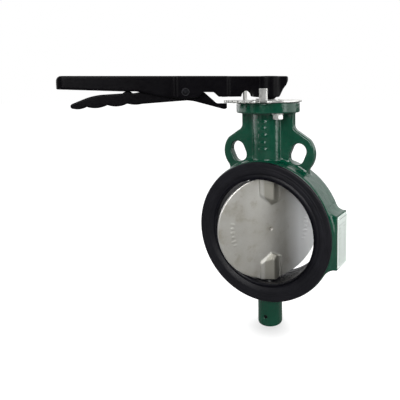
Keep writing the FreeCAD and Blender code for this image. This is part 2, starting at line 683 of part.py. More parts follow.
def make_handle():
    """Cast lever: hub, head, wider trigger housing and a channel-shaped grip."""
    handle = new_body("handle", HANDLE_ANGLE)
    plan = new_sketch(handle, "XY_Plane", dim("handle_bottom"))
    hub_x = math.sqrt(HUB_RADIUS ** 2 - HEAD_HALF ** 2)
    draw_outline(plan, (hub_x, HEAD_HALF), [
        ((0.0, HUB_RADIUS), (-hub_x, HEAD_HALF)),
        ((-25.0, HEAD_HALF),),
        ((-29.0, 0.0), (-25.0, -HEAD_HALF)),
        ((-hub_x, -HEAD_HALF),),
        ((0.0, -HUB_RADIUS), (hub_x, -HEAD_HALF)),
        ((56.0, -HEAD_HALF),),
        ((62.0, -HOUSING_HALF),),
        ((126.0, -HOUSING_HALF),),
        ((132.0, -GRIP_HALF),),
        ((HANDLE_END - GRIP_HALF, -GRIP_HALF),),
        ((HANDLE_END, 0.0), (HANDLE_END - GRIP_HALF, GRIP_HALF)),
        ((132.0, GRIP_HALF),),
        ((126.0, HOUSING_HALF),),
        ((62.0, HOUSING_HALF),),
        ((56.0, HEAD_HALF),),
        ((hub_x, HEAD_HALF),),
    ])
    extrude(handle, plan, dim("handle_top") - dim("handle_bottom"))
    side = new_sketch(handle, "XZ_Plane")
    low = 150.0
    draw_outline(side, (2.0, low), [
        ((2.0, 187.3),),
        ((20.0, 190.5),),
        ((23.5, 191.3),),
        ((32.0, 199.6), (40.5, 191.2)),
        ((68.5, 191.2),),
        ((75.5, 197.6),),
        ((92.0, 198.0),),
        ((100.0, 190.5),),
        ((128.0, 190.0),),
        ((156.0, 194.8),),
        ((178.0, 199.6),),
        ((194.0, 199.8),),
        ((HANDLE_END + 2.0, 203.2),),
        ((HANDLE_END + 2.0, low),),
        ((2.0, low),),
    ])
    cut(handle, side, THROUGH)
    tail = new_sketch(handle, "XZ_Plane")
    draw_outline(tail, (-7.0, low), [
        ((-7.0, 187.4),),
        ((-14.5, 190.5),),
        ((-20.0, 201.0),),
        ((-30.0, 213.5),),
        ((-34.0, 213.5),),
        ((-34.0, low),),
        ((-7.0, low),),
    ])
    cut(handle, tail, THROUGH)
    foot = new_sketch(handle, "XZ_Plane")
    draw_polygon(foot, tube_profile(FOOT_RADIUS, HUB_RADIUS + 4.0, low, FOOT_TOP))
    turn(handle, foot, "V_Axis", "Groove")
    channel = new_sketch(handle, "XY_Plane", dim("handle_ceiling"))
    head, housing, grip = HEAD_HALF - WALL, HOUSING_HALF - WALL, GRIP_HALF - WALL
    draw_outline(channel, (22.0, -head), [
        ((58.0, -head),),
        ((63.0, -housing),),
        ((125.0, -housing),),
        ((131.0, -grip),),
        ((HANDLE_END - 12.0, -grip),),
        ((HANDLE_END - 12.0 + grip, 0.0), (HANDLE_END - 12.0, grip)),
        ((131.0, grip),),
        ((125.0, housing),),
        ((63.0, housing),),
        ((58.0, head),),
        ((22.0, head),),
        ((22.0, -head),),
    ])
    cut(handle, channel, THROUGH, both_ways=False)
    socket = new_sketch(handle, "XY_Plane")
    half = dim("square_side") * 0.5 + GAP
    draw_box(socket, -half, half, -half, half)
    cut(handle, socket, COUNTERBORE_FLOOR + 1.0, both_ways=False, reverse=True)
    recess = new_sketch(handle, "XY_Plane", COUNTERBORE_FLOOR)
    draw_circle(recess, COUNTERBORE_RADIUS)
    cut(handle, recess, THROUGH, both_ways=False, reverse=True)
    pin_hole = new_sketch(handle, "XZ_Plane")
    draw_circle(pin_hole, dim("pivot_pin_radius") + GAP, dim("pivot_reach"),
                dim("pivot_height"))
    cut(handle, pin_hole, THROUGH)


HANDLE_WASHER_THICKNESS = 1.82
SCREW_END = 190.0
SCREW_HEAD_RADIUS = 7.0
SCREW_HEAD_HEIGHT = 5.0
SCREW_KEY_FLATS = 5.0


def make_handle_fixings():
    axis = FreeCAD.Vector(0, 0, 1)
    seat = COUNTERBORE_FLOOR + HANDLE_WASHER_THICKNESS
    turned_ring("handle_washer", tube_profile(
        SCREW_HOLE_RADIUS + 0.2, COUNTERBORE_RADIUS - 0.4,
        COUNTERBORE_FLOOR + 0.02, seat - 0.02), HANDLE_ANGLE)
    shank = Part.makeCylinder(SCREW_HOLE_RADIUS - 0.05, seat - SCREW_END + 0.5,
                              FreeCAD.Vector(0, 0, SCREW_END), axis)
    head = Part.makeCylinder(SCREW_HEAD_RADIUS, SCREW_HEAD_HEIGHT, FreeCAD.Vector(0, 0, seat), axis)
    key = hexagon(SCREW_KEY_FLATS, SCREW_HEAD_HEIGHT, FreeCAD.Vector(0, 0, seat + 2.2))
    solid_part("handle_screw", shank.fuse(head).cut(key).removeSplitter(), HANDLE_ANGLE)


# ---------------------------------------------------------------- trigger

PIVOT_X = DIMENSIONS["pivot_reach"]
PIVOT_Z = DIMENSIONS["pivot_height"]
SPRING_X = 146.0
SPRING_SEAT = 196.6
PIVOT_HUB_RADIUS = 7.0
PIVOT_HUB_WIDTH = 20.4
PIN_HEAD_RADIUS = 4.4
CLIP_RADIUS = 5.0
CLIP_THICKNESS = 0.9


def make_trigger():
    """Squeeze lever: tooth at the front, pivot hub, and a finger-grip tail."""
    trigger = new_body("trigger", HANDLE_ANGLE)
    side = new_sketch(trigger, "XZ_Plane")
    draw_outline(side, (59.7, 182.5), [
        ((59.7, 176.0),),
        ((62.0, 174.6), (66.0, 174.9)),
        ((104.0, 185.8),),
        ((113.4, 187.2),),
        ((171.0, 183.6),),
        ((180.5, 182.7), (189.5, 184.2),),
        ((204.5, 180.9), (213.5, 182.9),),
        ((228.0, 179.2), (238.0, 181.2),),
        ((247.0, 178.2), (252.6, 178.9),),
        ((256.2, 181.9), (254.2, 185.2),),
        ((238.0, 191.9),),
        ((226.0, 195.2), (216.0, 196.3),),
        ((194.5, 197.5),),
        ((188.5, 200.4), (182.5, 197.5),),
        ((170.5, 199.3),),
        ((158.0, 199.3),),
        ((153.0, SPRING_SEAT),),
        ((138.0, SPRING_SEAT),),
        ((128.0, 204.0),),
        ((116.0, 208.0), (104.0, 204.0),),
        ((90.3, 197.2),),
        ((75.5, 183.8),),
        ((73.0, 182.5),),
        ((59.7, 182.5),),
    ])
    extrude(trigger, side, dim("trigger_half") * 2, both_ways=True)
    hub = new_sketch(trigger, "XZ_Plane")
    draw_circle(hub, PIVOT_HUB_RADIUS, dim("pivot_reach"), dim("pivot_height"))
    extrude(trigger, hub, PIVOT_HUB_WIDTH, both_ways=True)
    bore = new_sketch(trigger, "XZ_Plane")
    draw_circle(bore, dim("pivot_pin_radius") + GAP, dim("pivot_reach"), dim("pivot_height"))
    cut(trigger, bore, THROUGH)
    tooth = new_sketch(trigger, "XY_Plane", 170.0)
    for side_sign in (-1, 1):
        draw_box(tooth, 50.0, 66.0, 3.0 * side_sign, 12.0 * side_sign)
    cut(trigger, tooth, 20.0, both_ways=False, reverse=True)


def make_trigger_pivot():
    half = HOUSING_HALF + 0.6
    pin = new_body("trigger_pin", HANDLE_ANGLE)
    shaft = new_sketch(pin, "XZ_Plane")
    draw_circle(shaft, dim("pivot_pin_radius"), PIVOT_X, PIVOT_Z)
    extrude(pin, shaft, 2 * half + 3.4, both_ways=True)
    head = new_sketch(pin, "XZ_Plane", HOUSING_HALF + 0.1)
    draw_circle(head, PIN_HEAD_RADIUS, PIVOT_X, PIVOT_Z)
    extrude(pin, head, 2.0)
    clip = new_body("trigger_pin_clip", HANDLE_ANGLE)
    washer = new_sketch(clip, "XZ_Plane", -HOUSING_HALF - CLIP_THICKNESS - 0.2)
    draw_circle(washer, CLIP_RADIUS, PIVOT_X, PIVOT_Z)
    draw_circle(washer, dim("pivot_pin_radius") + 0.02, PIVOT_X, PIVOT_Z)
    extrude(clip, washer, CLIP_THICKNESS)


def make_trigger_spring():
    """Compression spring between the trigger's tail and the handle's ceiling."""
    wire, radius, turns = 0.6, 4.2, 6.0
    low = SPRING_SEAT + wire + 0.1
    height = DIMENSIONS["handle_ceiling"] - wire - 0.1 - low
    helix = Part.makeHelix(height / turns, height, radius)
    start = Part.Circle(FreeCAD.Vector(radius, 0, 0), FreeCAD.Vector(0, 1, 0), wire)
    coil = Part.Wire(helix.Edges).makePipeShell([Part.Wire(start.toShape())], True, True)
    coil.translate(FreeCAD.Vector(SPRING_X, 0, low))
    solid_part("trigger_spring", coil, HANDLE_ANGLE)


# ---------------------------------------------------------------- build and export

make_valve_body()
make_nameplate()
make_seat_liner()
make_disc()
make_drive_stem()
make_bearings()
make_seals()
make_retaining_ring()
make_throttle_plate()
make_plate_fasteners()
make_handle()
make_handle_fixings()
make_trigger()
make_trigger_pivot()
make_trigger_spring()
doc.recompute()

for item in doc.Objects:
    if "Invalid" in item.State or "Error" in item.State:
        raise RuntimeError(f"{item.Name} failed: {item.State}")
os.makedirs("parts", exist_ok=True)
for part in subparts:
    shape = part.Shape
    if shape.isNull() or not shape.isValid() or not shape.Solids:
        raise RuntimeError(f"{part.Label} has no valid solid")
    print(f"{part.Label}: {len(shape.Solids)} solid(s), {shape.Volume / 1000:.2f} cm3")
    shape.exportStep(f"parts/{part.Label}.step")
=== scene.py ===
import json
import math

import bpy
import numpy as np
from mathutils import Matrix, Vector


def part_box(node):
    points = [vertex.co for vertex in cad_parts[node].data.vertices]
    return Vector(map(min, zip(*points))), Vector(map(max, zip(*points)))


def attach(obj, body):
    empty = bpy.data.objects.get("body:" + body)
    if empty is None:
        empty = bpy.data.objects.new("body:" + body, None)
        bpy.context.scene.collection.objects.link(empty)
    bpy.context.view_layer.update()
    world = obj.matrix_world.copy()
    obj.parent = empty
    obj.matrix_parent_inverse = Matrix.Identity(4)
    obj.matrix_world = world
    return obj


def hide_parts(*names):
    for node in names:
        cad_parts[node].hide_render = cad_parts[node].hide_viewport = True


# A DN150 wafer butterfly valve. Shapes are worked out in millimetres as distance fields and
# meshed, then scaled to metres. The frame is the CAD's: origin at the disc's centre, +Z up.

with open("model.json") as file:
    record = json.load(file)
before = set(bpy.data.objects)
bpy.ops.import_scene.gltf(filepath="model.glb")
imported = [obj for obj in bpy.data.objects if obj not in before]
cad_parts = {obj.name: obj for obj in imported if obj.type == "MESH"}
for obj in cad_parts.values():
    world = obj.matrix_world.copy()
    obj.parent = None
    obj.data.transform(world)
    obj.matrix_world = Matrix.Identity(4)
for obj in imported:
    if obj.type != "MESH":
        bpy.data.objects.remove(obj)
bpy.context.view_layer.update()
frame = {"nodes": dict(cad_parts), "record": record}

MM = 0.001


def node_box(node):
    """Lowest and highest corner of a CAD node at rest, in millimetres."""
    low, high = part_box(node)
    return np.array(low) / MM, np.array(high) / MM


JOINTS = {joint["name"]: joint for joint in frame["record"]["behaviour"]["joints"]}
BODY_LOW, BODY_HIGH = node_box("valve_body")
LINER_HIGH = node_box("seat_liner")[1]
DISC_HIGH = node_box("disc")[1]
HANDLE_LOW, HANDLE_HIGH = node_box("handle")
PLATE_HIGH = node_box("throttle_plate")[1]
PIVOT = np.array(JOINTS["trigger_squeeze"]["pos_m"]) / MM

OPEN_ANGLE = -math.radians(JOINTS["stem_turn"]["range_deg"][0])
HANDLE_ANGLE = math.pi + OPEN_ANGLE
PIVOT_REACH = math.hypot(PIVOT[0], PIVOT[1])
PIVOT_HEIGHT = PIVOT[2]

FLANGE_TOP = BODY_HIGH[2]
FLANGE_RADIUS = BODY_HIGH[1]
FLANGE_THICKNESS = 14.5
BODY_RADIUS = -BODY_LOW[0]
BODY_HALF_WIDTH = 24.0
BODY_BORE = 87.0
FACE = LINER_HIGH[1]
LINER_RADIUS = LINER_HIGH[2]
LINER_LIP = 76.2
LINER_SEAT = 76.9
NECK_BORE = 13.0
STUB_BORE = 9.05
STEM_RADIUS = 10.0
SQUARE_HALF = 7.05
PIVOT_BORE = 3.05
FLANGE_PITCH = 35.0
FLANGE_HOLE = 4.5
COLUMN_RADIUS = 22.5
WEB_HALF_WIDTH = 6.0
BOSS_RADIUS = 18.0
BOSS_PIN_HEIGHT = -130.0
BOSS_PIN_RADIUS = 2.5
BOLT_ANGLES = (-45.0, 135.0)
EAR_PITCH = 120.0
EAR_ANGLE = math.radians(22.5)
SLOT_RADIUS = 11.0
SLOT_HALF_LENGTH = 4.5
PAD_REACH = 107.5
PAD_LOW = -42.0
PAD_HIGH = 33.0
PAD_TILT = math.radians(7.0)


# ---------------------------------------------------------------- distance fields

def meet(a, b, radius=0.0):
    """Intersection of two fields with the edge rounded to a radius."""
    if radius <= 0:
        return np.maximum(a, b)
    u = np.maximum(a + radius, 0)
    v = np.maximum(b + radius, 0)
    return np.minimum(np.maximum(a, b), -radius) + np.sqrt(u * u + v * v)


def join(a, b, radius=0.0):
    """Union of two fields with a fillet of that radius in the corner between them."""
    return -meet(-a, -b, radius)


def carve(a, b, radius=0.0):
    """Field a with b taken out, the edge rounded to a radius."""
    return meet(a, -b, radius)


def between(value, low, high):
    """A slab: negative where low < value < high."""
    return np.maximum(low - value, value - high)


def grid(low, high, step):
    """Sparse coordinate arrays that cover a box with two spare cells all round."""
    low = np.asarray(low, float) - 2 * step
    high = np.asarray(high, float) + 2 * step
    axes = [np.arange(low[i], high[i] + step, step) for i in range(3)]
    return (axes[0][:, None, None], axes[1][None, :, None], axes[2][None, None, :]), low


def outline_distance(points, px, py):
    """Signed distance to a closed outline, negative inside."""
    px, py = np.broadcast_arrays(px, py)
    nearest = np.full(px.shape, np.inf)
    inside = np.zeros(px.shape, bool)
    for (ax, ay), (bx, by) in zip(points, points[1:] + points[:1]):
        ex, ey = bx - ax, by - ay
        length = ex * ex + ey * ey
        if length < 1e-12:
            continue
        along = np.clip(((px - ax) * ex + (py - ay) * ey) / length, 0, 1)
        nearest = np.minimum(nearest, (px - ax - along * ex) ** 2 + (py - ay - along * ey) ** 2)
        if abs(ey) > 1e-12:
            crosses = (ay > py) != (by > py)
            inside ^= crosses & (px < ax + (py - ay) * ex / ey)
    return np.where(inside, -1.0, 1.0) * np.sqrt(nearest)


def arc(cx, cy, radius, start, end, count=10):
    """Points on an arc, angles in degrees."""
    angles = np.radians(np.linspace(start, end, count))
    return [(cx + radius * math.cos(a), cy + radius * math.sin(a)) for a in angles]


def arc_through(start, middle, end, count=10):
    """Points on the arc through three points, its first and last included."""
    (ax, ay), (bx, by), (cx, cy) = start, middle, end
    d = 2 * (ax * (by - cy) + bx * (cy - ay) + cx * (ay - by))
    sa, sb, sc = ax * ax + ay * ay, bx * bx + by * by, cx * cx + cy * cy
    ux = (sa * (by - cy) + sb * (cy - ay) + sc * (ay - by)) / d
    uy = (sa * (cx - bx) + sb * (ax - cx) + sc * (bx - ax)) / d
    radius = math.hypot(ax - ux, ay - uy)
    first = math.atan2(ay - uy, ax - ux)
    mid = (math.atan2(by - uy, bx - ux) - first) % math.tau
    last = (math.atan2(cy - uy, cx - ux) - first) % math.tau
    if mid > last:
        last -= math.tau
    return [(ux + radius * math.cos(first + last * i / (count - 1)),
             uy + radius * math.sin(first + last * i / (count - 1))) for i in range(count)]


def surface_nets(field, low, step):
    """Vertices and quads of a field's zero surface."""
    cells = tuple(n - 1 for n in field.shape)
    total = np.zeros((3, *cells), np.float32)
    count = np.zeros(cells, np.float32)
    for axis in range(3):
        others = [i for i in range(3) if i != axis]
        swept = np.moveaxis(field, axis, 0)
        first, second = swept[:-1], swept[1:]
        crossing = (first < 0) != (second < 0)
        gap = np.where(crossing, first - second, 1.0)
        along = np.where(crossing, first / gap, 0.0)
        n1, n2 = swept.shape[1] - 1, swept.shape[2] - 1
        for d1 in (0, 1):
            for d2 in (0, 1):
                hit = np.moveaxis(crossing[:, d1:d1 + n1, d2:d2 + n2], 0, axis)
                count += hit
                total[axis] += np.moveaxis(along[:, d1:d1 + n1, d2:d2 + n2], 0, axis)
                total[others[0]] += hit * d1
                total[others[1]] += hit * d2
    used = count > 0
    index = np.full(cells, -1, np.int64)
    index[used] = np.arange(int(used.sum()))
    places = np.argwhere(used).astype(np.float64)
    places += (total[:, used] / count[used]).T
    verts = np.asarray(low) + places * step
    quads = []
    for axis in range(3):
        swept = np.moveaxis(field, axis, 0)
        cell_index = np.moveaxis(index, axis, 0)
        first = swept[:-1, 1:-1, 1:-1] < 0
        second = swept[1:, 1:-1, 1:-1] < 0
        edge = first != second
        corner = [cell_index[:, a:a + edge.shape[1], b:b + edge.shape[2]][edge]
                  for a, b in ((0, 0), (1, 0), (1, 1), (0, 1))]
        flip = first[edge] if axis != 1 else ~first[edge]
        straight = np.stack(corner, 1)
        quads.append(np.where(flip[:, None], straight, straight[:, ::-1]))
    return verts, np.concatenate(quads)


# ---------------------------------------------------------------- pieces

def add_mesh(name, verts, faces, smooth=True):
    """A mesh object from vertices in millimetres."""
    mesh = bpy.data.meshes.new(name)
    verts = np.asarray(verts, float) * MM
    faces = np.asarray(faces)
    sides = faces.shape[1]
    mesh.vertices.add(len(verts))
    mesh.vertices.foreach_set("co", verts.ravel())
    mesh.loops.add(faces.size)
    mesh.loops.foreach_set("vertex_index", faces.ravel().astype(np.int32))
    mesh.polygons.add(len(faces))
    mesh.polygons.foreach_set("loop_start", np.arange(0, faces.size, sides, dtype=np.int32))
    mesh.polygons.foreach_set("use_smooth", np.full(len(faces), smooth))
    mesh.update(calc_edges=True)
    mesh.validate()
    piece = bpy.data.objects.new(name, mesh)
    bpy.context.scene.collection.objects.link(piece)
    return piece


def turned(verts, angle):
    """Vertices turned about Z."""
    c, s = math.cos(angle), math.sin(angle)
    return verts @ np.array([[c, s, 0], [-s, c, 0], [0, 0, 1]])


def cast_piece(name, field, low, step, angle=0.0):
    """A piece meshed from a distance field, turned about Z into place."""
    verts, quads = surface_nets(field, low, step)
    return add_mesh(name, turned(verts, angle), quads)


def finish_piece(piece, body, slot_name, material, *replaced):
    """Gives a piece its body and material, and hides the CAD nodes it stands for."""
    piece.data.materials.clear()
    piece.data.materials.append(material)
    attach(piece, body)
    if replaced:
        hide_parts(*replaced)
    return piece


# ---------------------------------------------------------------- valve body

def web_outline():
    """The flat web: neck, shoulders and ears, as one closed outline in (x, z)."""
    neck = 39.7
    right = [(58.0, 80.0), (62.5, 91.0)]
    right += arc_through((62.5, 91.0), (70.2, 112.0), (62.5, 131.5), 16)
    right += [(46.0, 142.5)]
    right += arc_through((46.0, 142.5), (neck + 1.7, 146.2), (neck, 151.0), 8)
    right += [(neck, FLANGE_TOP - 8.0)]
    return right + [(-x, z) for x, z in reversed(right)]


def ear_slot_distance(x, z):
    """Both rounded slots, each along a radius of the pipe's bolt circle."""
    x = np.abs(x)
    out = (math.sin(EAR_ANGLE), math.cos(EAR_ANGLE))
    along = (x - EAR_PITCH * out[0]) * out[0] + (z - EAR_PITCH * out[1]) * out[1]
    across = (x - EAR_PITCH * out[0]) * out[1] - (z - EAR_PITCH * out[1]) * out[0]
    past = np.maximum(np.abs(along) - SLOT_HALF_LENGTH, 0)
    return np.sqrt(past ** 2 + across ** 2) - SLOT_RADIUS


def neck_marks(x, y, z, stem):
    """Plain raised pads down the front of the neck, where a casting carries its marks."""
    around = np.degrees(np.arctan2(y, x)) + 88.0
    marks = 1e3
    for row in range(5):
        height = 155.0 - 9.5 * row
        wide = 15.0 - 3.0 * (row % 2)
        across = (np.abs(around) - wide) * math.radians(1.0) * COLUMN_RADIUS
        bar = np.maximum(across, np.abs(z - height) - (1.3 + 0.7 * (row % 3)))
        marks = np.minimum(marks, np.maximum(bar, np.abs(stem - COLUMN_RADIUS) - 0.9))
    return marks


def flange_holes(x, y):
    """Distance to each of the top flange's four bolt holes in turn."""
    for quarter in range(4):
        angle = math.radians(45.0 + 90.0 * quarter)
        yield np.sqrt((x - FLANGE_PITCH * math.cos(angle)) ** 2
                      + (y - FLANGE_PITCH * math.sin(angle)) ** 2) - FLANGE_HOLE


def make_valve_body():
    """Cast body: ring, web with ears, neck, top flange, bottom boss and nameplate pad."""
    step = 1.0
    (x, y, z), low = grid(BODY_LOW, BODY_HIGH, step)
    pipe = np.sqrt(x * x + z * z)
    stem = np.sqrt(x * x + y * y)
    side = np.abs(y)
    body = meet(pipe - BODY_RADIUS, side - BODY_HALF_WIDTH, 2.5)
    web = meet(outline_distance(web_outline(), x, z), side - WEB_HALF_WIDTH, 2.0)
    web = carve(web, ear_slot_distance(x, z), 1.5)
    body = join(body, web, 6.0)
    column = meet(stem - COLUMN_RADIUS, between(z, 70.0, FLANGE_TOP - 4.0), 0.5)
    column = join(column, neck_marks(x, y, z, stem), 0.6)
    body = join(body, column, 1.8)
    flange = meet(stem - FLANGE_RADIUS,
                  between(z, FLANGE_TOP - FLANGE_THICKNESS, FLANGE_TOP), 1.2)
    body = join(body, flange, 2.5)
    bottom = BODY_LOW[2]
    cone = (stem - 3.5) * 0.483 + (bottom - z) * 0.876
    boss = meet(meet(stem - BOSS_RADIUS, cone, 0.4), between(z, bottom, -60.0), 0.4)
    body = join(body, boss, 5.0)
    face = (x - PAD_REACH) * math.cos(PAD_TILT) - y * math.sin(PAD_TILT)
    pad = meet(meet(face, side - 18.0, 1.0), between(z, PAD_LOW, PAD_HIGH), 1.0)
    body = join(body, np.maximum(pad, 70.0 - x), 9.0)
    seat = np.maximum(side - 19.0, between(z, PAD_LOW - 1.0, PAD_HIGH + 1.0))
    body = carve(body, np.maximum(seat, -face))
    body = carve(body, pipe - BODY_BORE, 0.6)
    body = carve(body, np.maximum(stem - NECK_BORE, 60.0 - z), 0.8)
    body = carve(body, np.maximum(stem - STUB_BORE, between(z, -138.0, -60.0)), 0.5)
    pin = np.sqrt(x * x + (z - BOSS_PIN_HEIGHT) ** 2) - BOSS_PIN_RADIUS
    body = carve(body, np.maximum(pin, y), 0.7)
    for hole in flange_holes(x, y):
        body = carve(body, np.maximum(hole, FLANGE_TOP - 22.0 - z), 0.4)
    return cast_piece("body_casting", body, low, step)


# ---------------------------------------------------------------- disc

def disc_marks(u, v, z, half):
    """Two arcs of plain raised dots near the disc's edge."""
    marks = 1e3
    for centre, count in ((186.0, 6), (-7.0, 6)):
        for i in range(count):
            angle = math.radians(centre + 6.5 * (i - (count - 1) / 2))
            du, dz = u - 56.0 * math.cos(angle), z - 56.0 * math.sin(angle)
            out = np.abs(du * math.cos(angle) + dz * math.sin(angle)) - (2.6 - 0.9 * (i % 2))
            side = np.abs(dz * math.cos(angle) - du * math.sin(angle)) - 1.3
            marks = np.minimum(marks, np.maximum(out, side))
    return np.maximum(marks, np.abs(v) - half - 0.4)


def make_disc():
    """Disc with a ridge along the stem and a faceted hub at each end, in (along, across, z)."""
    step = 0.8
    radius = 76.5
    (u, v, z), low = grid((-radius, -16.0, -75.0), (radius, 16.0, 75.0), step)
    spread = np.minimum(np.abs(u) / 44.0, 1.0)
    fade = np.clip((np.abs(z) - 25.0) / 45.0, 0, 1)
    ridge = 5.2 * (1.0 - 0.55 * fade * fade * (3 - 2 * fade))
    half = 3.5 + ridge * (0.5 + 0.5 * np.cos(math.pi * spread))
    plate = (np.abs(v) - half) * 0.98
    stem = np.sqrt(u * u + v * v)
    out = np.abs(0.934 * v + 0.358 * u)
    nose = (35.5 + 0.44 * np.abs(u) + 1.9 * np.maximum(out - 8.1, 0.0) - np.abs(z)) * 0.46
    hub = meet(meet(stem - 14.5, out - 12.3, 0.4), nose, 0.9)
    collar = meet(meet(stem - 17.2, np.abs(v) - 8.8, 0.8), nose, 0.8)
    disc = join(join(plate, collar, 1.2), hub, 0.8)
    disc = join(disc, disc_marks(u, v, z, half), 0.4)
    disc = meet(disc, np.sqrt(u * u + v * v + z * z) - radius, 0.7)
    disc = meet(disc, np.abs(z) - DISC_HIGH[2], 0.4)
    disc = carve(disc, np.maximum(stem - STEM_RADIUS - 0.05, 58.0 - z), 0.3)
    disc = carve(disc, np.maximum(np.maximum(np.abs(u), np.abs(v)) - SQUARE_HALF, 40.0 - z), 0.0)
    disc = carve(disc, np.maximum(stem - 11.0, z + 46.0), 0.3)
    dimple = np.sqrt(u * u + (np.abs(v) - 9.6) ** 2 + z * z) - 2.4
    disc = carve(disc, dimple, 0.4)
    return cast_piece("disc_casting", disc, low, step, OPEN_ANGLE)


# ---------------------------------------------------------------- seat liner

def make_seat_liner():
    """Rubber seat turned about the pipe's axis: lips, rounded rims and shallow rings."""
    step_angle = math.tau / 288
    half = [(0.0, LINER_SEAT), (14.0, LINER_SEAT)]
    half += [(14.0 + 4.0 * t, LINER_SEAT - (LINER_SEAT - LINER_LIP) * (3 * t * t - 2 * t ** 3))
             for t in np.linspace(0.15, 1, 6)]
    half += [(FACE - 6.5 * math.cos(a), LINER_LIP + 6.5 * (1 - math.sin(a)))
             for a in np.linspace(math.pi / 2, 0, 12)]
    for ring in (86.5, 90.0, 93.5):
        half += [(FACE, ring - 0.9), (FACE - 0.2, ring - 0.4), (FACE - 0.2, ring + 0.4),
                 (FACE, ring + 0.9)]
    half += arc(FACE - 2.2, LINER_RADIUS - 2.2, 2.2, 0, 90, 8)
    half += [(BODY_HALF_WIDTH + 0.6, LINER_RADIUS), (BODY_HALF_WIDTH + 0.1, LINER_RADIUS - 0.5),
             (BODY_HALF_WIDTH + 0.05, BODY_BORE + 0.6), (BODY_HALF_WIDTH - 0.4, BODY_BORE - 0.05),
             (0.0, BODY_BORE - 0.05)]
    loop = half + [(-y, r) for y, r in reversed(half[1:-1])]
    count = len(loop)
    around = round(math.tau / step_angle)
    verts = []
    for i in range(around):
        c, s = math.cos(i * step_angle), math.sin(i * step_angle)
        verts += [(r * c, y, r * s) for y, r in loop]
    faces = []
    for i in range(around):
        a, b = i * count, ((i + 1) % around) * count
        faces += [(a + j, b + j, b + (j + 1) % count, a + (j + 1) % count) for j in range(count)]
    liner = add_mesh("rubber_seat", verts, faces)
    for radius, height in ((STEM_RADIUS + 0.05, 82.0), (STUB_BORE, -82.0)):
        drill(liner, radius, (0, 0, height), 30.0)
    return liner


def drill(piece, radius, centre, depth):
    """Cuts a round hole along Z through a piece."""
    bpy.ops.mesh.primitive_cylinder_add(vertices=96, radius=radius * MM, depth=depth * MM,
                                        location=tuple(c * MM for c in centre))
    tool = bpy.context.object
    modifier = piece.modifiers.new("hole", "BOOLEAN")
    modifier.object = tool
    modifier.operation = "DIFFERENCE"
    modifier.solver = "EXACT"
    bpy.context.view_layer.objects.active = piece
    bpy.ops.object.modifier_apply(modifier=modifier.name)
    bpy.data.objects.remove(tool)
    for polygon in piece.data.polygons:
        polygon.use_smooth = True


# ---------------------------------------------------------------- handle and trigger

HANDLE_END = 272.0
HANDLE_CEILING = 215.0


def handle_plan(hub, head, housing, grip, end, tail):
    """Half-symmetric plan of the lever: hub, head, housing and rounded grip."""
    rise = housing - head
    side = [(54.5, head), (56.5, head + 0.08 * rise), (58.0, head + 0.3 * rise),
            (60.0, head + 0.75 * rise), (61.5, head + 0.95 * rise), (63.5, housing)]
    fall = housing - grip
    side += [(125.5, housing), (127.0, grip + 0.93 * fall), (128.2, grip + 0.7 * fall),
             (129.2, grip + 0.35 * fall), (130.2, grip + 0.08 * fall), (131.5, grip)]
    side += arc(end - grip, 0.0, grip, 90, 0, 14)
    if hub:
        reach = math.sqrt(hub * hub - head * head)
        nose = [(tail, 0.0), (tail + 0.7, head * 0.6), (tail + 3.8, head), (-reach, head)]
        start = nose + arc_through((-reach, head), (0.0, hub), (reach, head), 18)
    else:
        start = [(tail, head)]
    upper = start + side
    return upper + [(x, -y) for x, y in reversed(upper) if abs(y) > 1e-6]


def handle_side():
    """Outline of the lever seen from the side, in (along, z)."""
    top = HANDLE_HIGH[2]
    lower = [(-7.0, 187.4), (2.0, 187.3), (20.0, 190.5), (23.5, 191.3)]
    lower += arc_through((23.5, 191.3), (32.0, 199.6), (40.5, 191.2), 14)
    lower += [(68.5, 191.2), (75.5, 197.6), (92.0, 198.0), (100.0, 190.5), (128.0, 190.0),
              (156.0, 194.8), (178.0, 199.6), (194.0, 199.8), (HANDLE_END, 203.1)]
    end = arc(HANDLE_END - 8.0, top - 8.0, 8.0, 0, 90, 10)
    upper = [(-34.0, top), (-34.0, 213.5), (-30.0, 213.5), (-20.0, 201.0), (-14.5, 190.5),
             (-7.0, 187.4)]
    return lower[1:] + end + upper


def make_handle():
    """Cast lever, hollow below: hub on the stem, housing of the trigger, and grip."""
    step = 0.8
    (x, y, z), low = grid((-29.0, -17.5, HANDLE_LOW[2]), (HANDLE_END, 17.5, HANDLE_HIGH[2]), step)
    plan = outline_distance(handle_plan(17.5, 10.0, 14.0, 11.8, HANDLE_END, -29.0), x, y)
    side = outline_distance(handle_side(), x, z)
    handle = meet(plan, side, 2.2)
    inner = outline_distance(handle_plan(0, 6.5, 10.5, 8.5, HANDLE_END - 3.5, 22.0), x, y)
    handle = carve(handle, meet(inner, z - HANDLE_CEILING, 2.0), 0.8)
    square = np.maximum(np.abs(x), np.abs(y)) - SQUARE_HALF
    handle = carve(handle, np.maximum(square, z - 212.0), 0.3)
    stem = np.sqrt(x * x + y * y)
    handle = carve(handle, np.maximum(stem - 11.0, 209.0 - z), 0.8)
    pin = np.sqrt((x - PIVOT_REACH) ** 2 + (z - PIVOT_HEIGHT) ** 2) - PIVOT_BORE
    handle = carve(handle, pin, 0.3)
    handle = carve(handle, np.maximum(11.2 - stem, np.maximum(z - 189.9, stem - 24.0)), 0.5)
    return cast_piece("handle_casting", handle, low, step, HANDLE_ANGLE)


